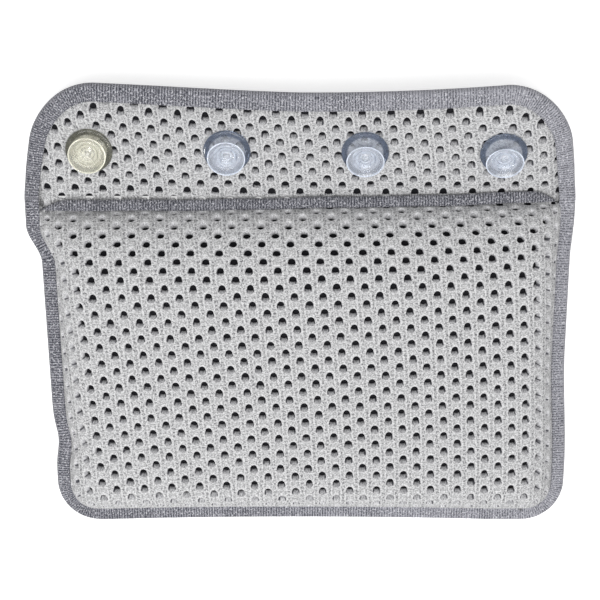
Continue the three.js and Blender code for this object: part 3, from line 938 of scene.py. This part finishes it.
def outline_stations():
    """The outline of the cushion and the flap laid flat, anticlockwise from the left end of the fold"""
    sides = np.arange(0, -corner_y, station_step)
    turns = np.linspace(0, math.pi / 2, 24)[:-1]
    top_middle = half_width - flap_corner
    top_corner = flap_length - flap_corner
    feet = np.arange(left_middle, right_middle, station_step)
    tops = np.arange(top_middle, -top_middle, -station_step)
    flap_sides = np.arange(0, top_corner, station_step)
    stretches = [
        (left_side(-sides), -sides),
        (left_middle - cushion_corner * np.cos(turns), corner_y - cushion_corner * np.sin(turns)),
        (feet, foot_arch(feet) - cushion_length),
        (right_middle + cushion_corner * np.sin(turns), corner_y - cushion_corner * np.cos(turns)),
        (right_side(corner_y + sides), corner_y + sides),
        (np.full(flap_sides.shape, float(half_width)), flap_sides),
        (top_middle + flap_corner * np.cos(turns), top_corner + flap_corner * np.sin(turns)),
        (tops, flap_top(tops)),
        (-top_middle - flap_corner * np.sin(turns), top_corner + flap_corner * np.cos(turns)),
        (np.full(flap_sides.shape, -float(half_width)), top_corner - flap_sides),
    ]
    across, along = np.hstack(stretches)
    return np.where(along > 0, drawn_in(across, along), across), along


def on_edge(s, t, height):
    """A place on the folded edge: height is -1 and 1 at the faces of the cloth inside the tape"""
    on_cushion = np.stack([s, t, seam_height + raw_edge * height], axis=-1)
    cloth_in_tape = 2.3
    upper = cloth_in_tape + (raw_edge + seam_reach - cloth_in_tape) * (1 - smooth(t / 14))
    lower = -1.6 + 1.3 * (1 - smooth(t / 4))
    on_flap_edge = on_flap(s, np.maximum(t, 0), (upper + lower) / 2 + (upper - lower) / 2 * height)
    return np.where((t < 0)[..., None], on_cushion, on_flap_edge)


edge_s, edge_t = outline_stations()
edge_places = np.stack([edge_s, edge_t])
following = np.roll(edge_places, -1, axis=1) - np.roll(edge_places, 1, axis=1)
following /= np.linalg.norm(following, axis=0)
inward_s, inward_t = -following[1], following[0]
run_along = running_sum(np.hypot(np.diff(edge_s), np.diff(edge_t)))
width_here = tape_width(edge_s, edge_t)
legs = np.linspace(1, 0, 7)[:-1]
turns = np.linspace(0, math.pi, 11)
puckers = 0.25 * np.sin(run_along * 0.9) + 0.2 * np.sin(run_along * 0.37 + 1) + 0.15 * np.sin(run_along * 1.7)


def tape_section(width, thick):
    """Inset, height between the cloth's faces and height beyond them, from one inner edge to the other"""
    fold = 2.6
    bulge = fold - (tape_thickness - thick)
    rows = []
    for leg in legs:
        rows.append((fold + (width - fold) * leg, 1, thick))
    for turn in turns:
        rows.append((fold - bulge * np.sin(turn), np.cos(turn), thick * np.cos(turn)))
    for leg in legs[::-1]:
        rows.append((fold + (back_of_tape - fold) * leg, -1, -thick))
    return rows


def joined_rings(rings, closed):
    """Faces between rings of points, each joined to the next and, if closed, the last to the first"""
    faces = []
    for first, second in zip(rings, rings[1:] + (rings[:1] if closed else [])):
        for side, after in enumerate([*range(1, len(first)), 0]):
            face = [first[side], first[after], second[after], second[side]]
            faces.append(list(dict.fromkeys(face)))
    return faces


def add_strip(name, rows, marks, closed):
    """A strip of knit, from rows of points along it and what its material reads there"""
    points = np.stack(rows, axis=1)
    rings = np.arange(points[..., 0].size).reshape(points.shape[:2]).tolist()
    faces = joined_rings(rings, closed)
    if not closed:
        faces = [[a, d, c, b] for a, b, c, d in faces] + [rings[0], rings[-1][::-1]]
    strip = add_mesh(name, points.reshape(-1, 3), faces)
    store(strip, "ribs", np.stack(marks, axis=1))
    return strip


outer_rows = tape_section(width_here, tape_thickness)
inner_rows = tape_section(width_here, 0.15)
tape_points = []
tape_marks = []
for number, (inset, height, beyond) in enumerate([*outer_rows, *inner_rows[::-1]]):
    inset = inset + 0 * edge_s
    height_here = height + beyond / raw_edge * np.where(edge_t < 0, 1, 1.55)
    if number < len(outer_rows):
        height_here = height_here + puckers * 0.072 * np.sign(height)
    tape_points.append(on_edge(edge_s + inward_s * inset, edge_t + inward_t * inset, height_here))
    paler = 0.08 * smooth((edge_s + 130) / 260) - 0.015
    tape_marks.append(np.column_stack([run_along, inset + 20 * (1 - height), paler]))
edge_tape = add_strip("edge_tape_knit", tape_points, tape_marks, True)

# Melange ribbed knit: fine ribs across the tape, light and dark fibres mixed in the yarn, and white flecks
melange, given, put_out = group_with(
    "melange",
    [
        ("Ribs", "Vector"),
        ("Ribs per mm", "Float", 0.58),
        ("Dark", "Color", (0.045, 0.047, 0.06, 1)),
        ("Light", "Color", (0.4, 0.4, 0.44, 1)),
    ],
    [("Color", "Color"), ("Height", "Float")],
)
run, _, paler = split(given["Ribs"])
rib = math_node("SINE", times(times(run, given["Ribs per mm"]), 6.2832))
fibres = flat_noise(scaled(given["Ribs"], (1, 0.7, 1)), 1.3, 4, 0.8).outputs["Fac"]
broad = flat_noise(given["Ribs"], 0.09, 2).outputs["Fac"]
mix_of_yarn = plus(plus(plus(fibres, times(rib, 0.075)), times(broad, 0.12)), paler)
lightness = smooth_range(mix_of_yarn, 0.44, 0.74)
yarn_colour = mixed_colour(lightness, given["Dark"], given["Light"])
flecks = flat_noise(given["Ribs"], 0.8, 1).outputs["Fac"]
fleck_share = smooth_range(flecks, 0.62, 0.72, 0.0, 0.7)
connect(mixed_colour(fleck_share, yarn_colour, (0.72, 0.72, 0.76, 1)), put_out["Color"])
connect(plus(times(rib, 0.3), fibres), put_out["Height"])

knit_tape, tree, shader = node_material("knit tape", Roughness=0.95, Specular_IOR_Level=0.2, Sheen_Weight=0.2)
yarns = new_node(tree, "Group", melange, Ribs=stored(tree, "ribs")).outputs
connect(yarns["Color"], shader.inputs["Base Color"])
add_relief(shader, yarns["Height"], 0.5, 0.0004)

edge_tape.data.materials.append(knit_tape)
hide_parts("cushion_binding", "flap_binding")
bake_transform(edge_tape)


# Fold band: a narrower strip of the same knit along the fold, folded over the raw edge of the tub side cover
# where the flap leaves it. Its upper edge tapers down to its lower edge at both ends.

band_x = np.arange(band_left, band_right + 1, 2.0)
share_here = band_share(band_x)
wander = 0.25 * np.sin(band_x * 0.045 + 1) + 0.2 * np.sin(band_x * 0.11)
lower_edge = band_lower_edge(band_x) + wander * share_here
band_points = []
band_marks = []
band_level = 19.9
# Round the band: share of its width from its lower edge, and height
band_profile = [
    (0.0, 19.9), (-0.02, 20.8), (0.04, 21.5), (0.12, 21.9), (0.35, 22.1), (0.65, 21.5),
    (0.88, 20.5), (0.98, 19.3), (1.0, 18.8), (0.94, 18.4), (0.6, 19.9), (0.2, 20.3),
]
for across, height in band_profile:
    y = lower_edge + band_width * share_here * across
    z = band_level + (height - band_level) * (0.35 + 0.65 * share_here) - 2 * (1 - share_here)
    band_points.append(np.column_stack([band_x, y, z]))
    band_marks.append(np.column_stack([band_x, 0 * band_x + across * band_width, 0 * band_x - 0.02]))
fold_band = add_strip("fold_band_knit", band_points, band_marks, False)
fold_band.data.materials.append(knit_tape)
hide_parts("fold_band")
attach(fold_band, "cushion")


# Suction cups: soft clear vinyl, each moulded as a bell on a neck with a stem and a mushroom head, which is
# pushed through the flap. A wide washer under the bell and a small one under the head clamp the mesh.

turned_sides = 96
rest_tilts = [-4, 0, 5, 5]
tilts_about = 2.5


def add_turned(name, profile, middle, across, outward):
    """A closed solid turned from radius and height along an axis"""
    forward = np.cross(outward, across)
    angles = 2 * math.pi * np.arange(turned_sides) / turned_sides
    points = []
    places = []
    rings = []
    for radius, height in profile:
        if radius < 1e-6:
            rings.append([len(points)] * turned_sides)
            points.append(middle + outward * height)
            places.append((0, height, 0))
            continue
        rings.append(list(range(len(points), len(points) + turned_sides)))
        for angle in angles:
            sideways = math.cos(angle) * across + math.sin(angle) * forward
            points.append(middle + outward * height + radius * sideways)
            places.append((radius, height, abs(angle - math.pi)))
    piece = add_mesh(name, points, joined_rings(rings, profile[0][0] > 1e-6))
    store(piece, "turned", places)
    return piece


def rounded(profile, radius, steps=4):
    """A turned profile with its inner corners rounded"""
    made = [profile[0]]
    for before, here, after in zip(profile, profile[1:], profile[2:]):
        here = np.array(here, float)
        back = np.array(before) - here
        on = np.array(after) - here
        cut = min(radius, np.linalg.norm(back) / 2.1, np.linalg.norm(on) / 2.1)
        start = here + unit(back) * cut
        end = here + unit(on) * cut
        for share in np.linspace(0, 1, steps):
            made.append(tuple((1 - share) ** 2 * start + 2 * share * (1 - share) * here + share**2 * end))
    return [*made, profile[-1]]


flare = np.linspace(0, 1, 15)
outer_flare = [(4.4 + 7.3 * share, 9.56 + 5.4 * share**1.7) for share in flare]
inner_flare = [(1.9 + 8.9 * share, 11.06 + 3.9 * share**1.7) for share in flare[::-1]]
inner_flare = [
    (radius, height + 0.4 * float(smooth((8.2 - radius) / 0.7)) - 0.3 * float(hump(radius - 5.0, 0.4)))
    for radius, height in inner_flare
]
# Outlines to turn round an axis: radius, and height above the back of the flap's mesh
head = [(0, -6.4), (5.2, -6.4), (6.0, -5.6), (6.0, -4.9), (4.4, -3.8)]
stem_and_neck = [(2.2, -3.4), (2.2, 8.16), (4.4, 8.16)]
rim = [(11.65, 15.25), (11.2, 15.35), (10.85, 15.15)]
nub = [(1.6, 11.4), (1.55, 12.1), (1.2, 12.35), (0, 12.4)]
bell_profile = [*head, *stem_and_neck, *outer_flare, *rim, *inner_flare, *nub]
front_profile = [
    (4.0, 5.3), (14.6, 5.3), (washer_radius, 6.2), (14.3, 7.0), (13.2, 7.1), (12.8, 6.9), (8.6, 6.9),
    (8.2, 7.1), (4.0, 7.1),
]
back_profile = [(4.0, -3.1), (8.5, -3.1), (9.0, -2.6), (9.0, -1.6), (4.0, -1.6)]


# Moulded vinyl: the broad washer is painted dark beyond its flat middle, a painted shade for its rim; small
# moulding marks in the bell's centre take the same dark colour. The bell's lip and its thick centre, with a
# nub and rings moulded in it, are painted with a glow that stands in for the light that runs inside the
# vinyl.
moulded_vinyl, given, put_out = group_with(
    "moulded vinyl",
    [
        ("Turned", "Vector"),
        ("Clear", "Color", (0.9, 0.94, 1, 1)),
        ("Thick", "Color", (0.36, 0.41, 0.5, 1)),
        ("Lit", "Color", (0.72, 0.8, 0.92, 1)),
    ],
    [("Color", "Color"), ("Glow", "Color"), ("Height", "Float")],
)
from_axis, height, round_axis = split(given["Turned"])
round_place = new_node(moulded_vinyl, "CombineXYZ", X=from_axis, Y=times(round_axis, 3.0))
clouds = flat_noise(round_place.outputs[0], 0.7, 3).outputs["Fac"]
in_bell = smooth_range(height, 7.5, 8.2)
wavering = plus(from_axis, times(clouds, 0.8))
# Painted shade on the washer's rim, beyond its flat middle, its edge wavering a little
thick = times(smooth_range(wavering, 11.0, 12.2), minus(1.0, in_bell))
lip = times(smooth_range(from_axis, 10.9, 11.5), in_bell)
core = times(smooth_range(wavering, 7.6, 8.6, 1.0, 0.0), in_bell)
rings = math_node("SINE", times(from_axis, 2.6))
marks = times(times(core, smooth_range(clouds, 0.62, 0.7)), 0.7)
base = mixed_colour(thick, given["Clear"], given["Thick"])
connect(mixed_colour(marks, base, given["Thick"]), put_out["Color"])
# Painted glow on the bell's lip and its centre, a little stronger on the moulded rings
painted_glow = plus(times(lip, 0.3), times(core, plus(times(rings, 0.06), 0.08)))
connect(mixed_colour(painted_glow, (0, 0, 0, 1), given["Lit"]), put_out["Glow"])
connect(plus(clouds, rings), put_out["Height"])


# thick is the colour of the painted shade on the washer's rim, which the moulding marks also take; lit is the
# colour of the painted glow
def vinyl(name, clear, thick, lit):
    made, tree, shader = node_material(name, Roughness=0.1, IOR=1.45, Transmission_Weight=0.82)
    moulding = new_node(
        tree, "Group", moulded_vinyl, Turned=stored(tree, "turned"), Clear=clear, Thick=thick, Lit=lit
    ).outputs
    connect(moulding["Color"], shader.inputs["Base Color"])
    connect(moulding["Glow"], shader.inputs["Emission Color"])
    shader.inputs["Emission Strength"].default_value = 1.0
    add_relief(shader, moulding["Height"], 0.25, 0.0002)
    return made


clear_vinyl = vinyl("clear vinyl", (0.88, 0.91, 0.97, 1), (0.3, 0.35, 0.45, 1), (0.78, 0.86, 1, 1))
# The first cup and its washers have yellowed
aged_vinyl = vinyl("aged vinyl", (0.94, 0.93, 0.84, 1), (0.34, 0.34, 0.29, 1), (1, 0.98, 0.84, 1))

for number, (across_flap, tilt) in enumerate(zip(cup_across, rest_tilts), 1):
    frame_of_cup = flap_frame(np.array([across_flap]), np.array([float(cup_up_flap)]))
    origin, across, outward = (value[0] for value in frame_of_cup)
    finish = aged_vinyl if number == 1 else clear_vinyl
    turn = math.radians(tilt)
    forward = np.cross(outward, across)
    leaning = outward * math.cos(turn) - forward * math.sin(turn)
    foot_of_bell = origin + (outward - leaning) * tilts_about
    for node, body, profile, middle, axis in (
        (f"cup_{number}_bell", f"cup_{number}", rounded(bell_profile, 0.25), foot_of_bell, leaning),
        (f"cup_{number}_front_washer", "flap", rounded(front_profile, 0.2), origin, outward),
        (f"cup_{number}_back_washer", "flap", rounded(back_profile, 0.3), origin, outward),
    ):
        piece = add_turned(node + "_vinyl", profile, middle, across, axis)
        piece.data.materials.append(finish)
        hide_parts(node)
        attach(piece, body)


# The floor, the lamps and the camera: a white table under soft light from above, seen from the flap's side

floor_material, tree, shader = node_material("white floor", Roughness=0.8, Specular_IOR_Level=0.1)
shader.inputs["Base Color"].default_value = (0.86, 0.86, 0.86, 1)
rays = new_node(tree, "LightPath").outputs
seen = larger(rays["Is Camera Ray"], rays["Is Transmission Ray"])
seen = larger(seen, rays["Is Glossy Ray"])
glow = new_node(tree, "Emission", Color=(1, 1, 1, 1), Strength=times(seen, 0.6))
both = new_node(tree, "AddShader")
connect(shader.outputs[0], both.inputs[0])
connect(glow.outputs[0], both.inputs[1])
connect(both.outputs[0], tree.nodes["Material Output"].inputs["Surface"])
floor_reach = 6000
floor_middle = -1000 * fold_y
floor_corners = [(-1, -1), (1, -1), (1, 1), (-1, 1)]
floor_points = [(x * floor_reach, y * floor_reach + floor_middle, -0.4) for x, y in floor_corners]
floor = add_mesh("floor", floor_points, [(0, 1, 2, 3)])
floor.data.materials.append(floor_material)

world = bpy.data.worlds.new("soft room")
bpy.context.scene.world = world
world.use_nodes = True
sky = world.node_tree.nodes["Background"]
sky.inputs["Color"].default_value = (1, 1, 1, 1)
rays = new_node(world.node_tree, "LightPath").outputs
seen = larger(rays["Is Camera Ray"], rays["Is Transmission Ray"])
connect(plus(times(seen, 0.45), 0.55), sky.inputs["Strength"])


def soft_lamp(name, place, aim, size, power):
    lamp = bpy.data.lights.new(name, "AREA")
    lamp.shape = "DISK"
    lamp.size = size
    lamp.energy = power
    holder = in_scene(name, lamp)
    holder.location = place
    holder.rotation_euler = (Vector(aim) - Vector(place)).to_track_quat("-Z", "Y").to_euler()


soft_lamp("overhead softbox", (-0.02, -0.3, 1.4), (0, 0, 0), 1.2, 14.2)
soft_lamp("side lamp", (-0.55, -0.9, 0.9), (0, 0.05, 0), 0.16, 2)

camera = in_scene("camera", bpy.data.cameras.new("camera"))
camera.location = (0, fold_y + 0.1836, 0.8901)
camera.rotation_euler = (-math.radians(16), 0, 0)
camera.data.lens = 84.5
camera.data.sensor_width = 36
camera.data.clip_start = 0.01
bpy.context.scene.camera = camera
bpy.context.scene.view_settings.view_transform = "Standard"

bpy.context.view_layer.update()
